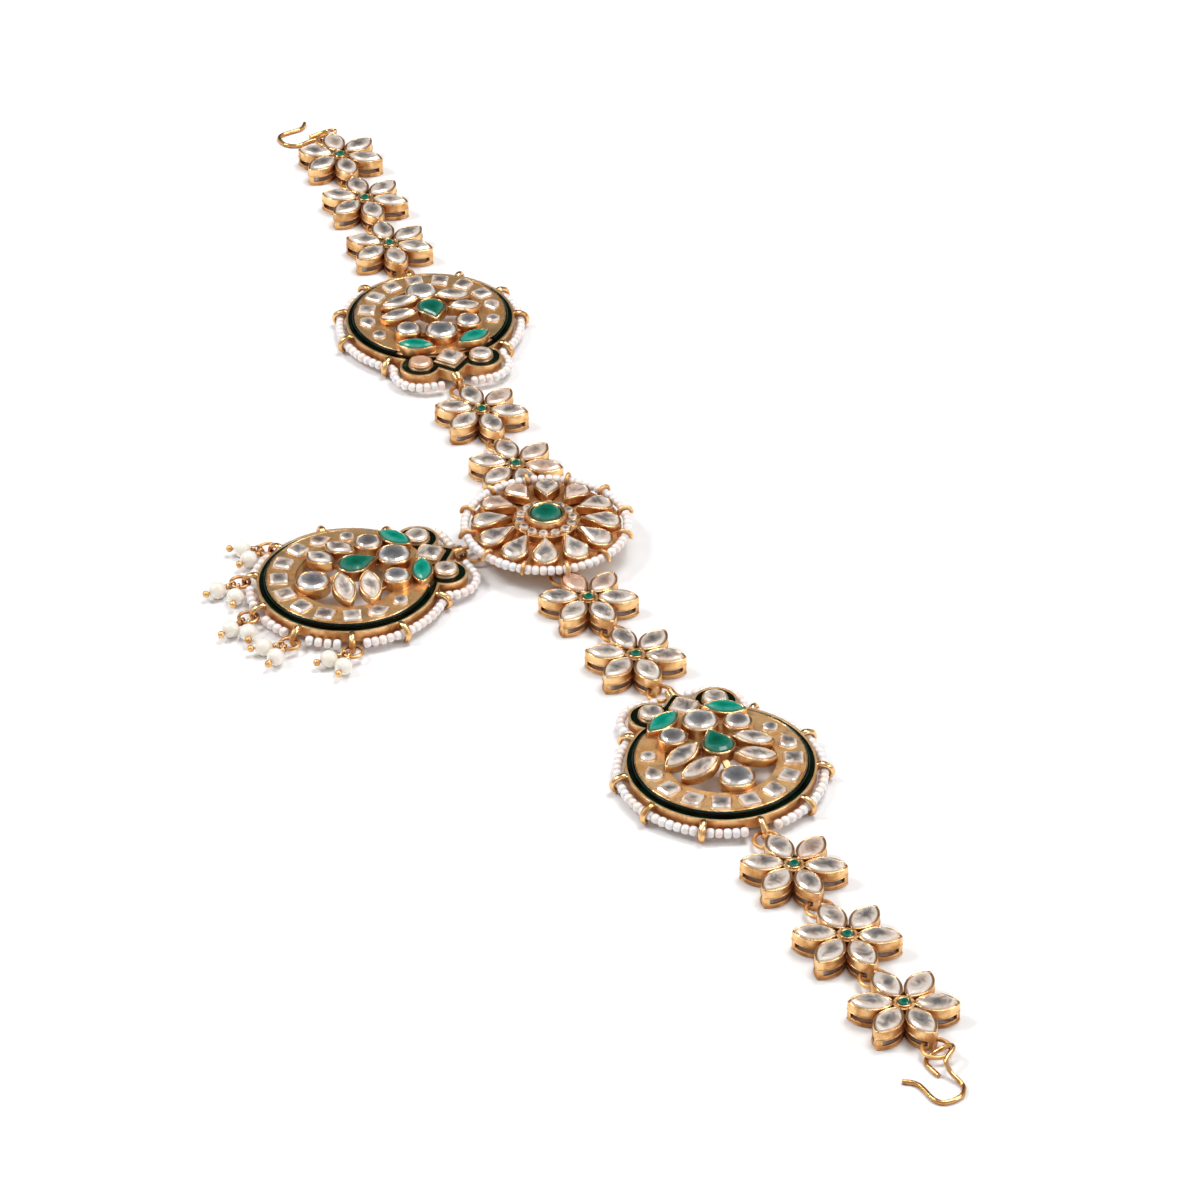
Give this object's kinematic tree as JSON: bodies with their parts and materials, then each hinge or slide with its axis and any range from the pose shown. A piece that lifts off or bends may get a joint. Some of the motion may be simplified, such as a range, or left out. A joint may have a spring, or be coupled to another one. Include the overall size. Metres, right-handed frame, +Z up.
{
  "type": "matha patti head jewel",
  "caption": "Gold head chain of flower links and domed medallions with crystals and green stones, a rosette, a pendant with a pearl fringe, and a wire hook at each end.",
  "frame": {"origin": "under the rosette's centre, on the flat back that lies on the surface", "axes": "+X along the band toward the right hook, -Y toward the pendant and its pearls, +Z up out of the front face"},
  "size_m": [0.4063, 0.1079, 0.0095],
  "materials": {
    "gold": "warm yellow gold plate, bright on the rims and matt in the recesses",
    "crystal": "foil-backed silvery glass with a flat table",
    "emerald": "polished green glass with a flat table",
    "enamel": "glossy near-black green enamel",
    "pearl": "satin pearl lustre"
  },
  "bodies": {
    "root": {"flower_link_1": "gold", "flower_link_2": "gold", "flower_link_3": "gold", "flower_link_4": "gold", "flower_link_5": "gold", "flower_link_6": "gold", "flower_link_7": "gold", "flower_link_8": "gold", "flower_link_9": "gold", "flower_link_10": "gold", "flower_stones_1": "crystal", "flower_stones_2": "crystal", "flower_stones_3": "crystal", "flower_stones_4": "crystal", "flower_stones_5": "crystal", "flower_stones_6": "crystal", "flower_stones_7": "crystal", "flower_stones_8": "crystal", "flower_stones_9": "crystal", "flower_stones_10": "crystal", "flower_centres": "emerald", "left_medallion": "gold", "left_enamel": "enamel", "left_crystals": "crystal", "left_emeralds": "emerald", "left_beads": "pearl", "right_medallion": "gold", "right_enamel": "enamel", "right_crystals": "crystal", "right_emeralds": "emerald", "right_beads": "pearl", "pendant_medallion": "gold", "pendant_enamel": "enamel", "pendant_crystals": "crystal", "pendant_emeralds": "emerald", "pendant_beads": "pearl", "rosette": "gold", "rosette_pears": "crystal", "rosette_rounds": "crystal", "rosette_emerald": "emerald", "rosette_beads": "pearl", "chain_rings": "gold", "drop_rings": "gold", "drop_pins": "gold", "drop_pearls": "pearl", "left_hook": "gold", "right_hook": "gold"}
  },
  "joints": []
}
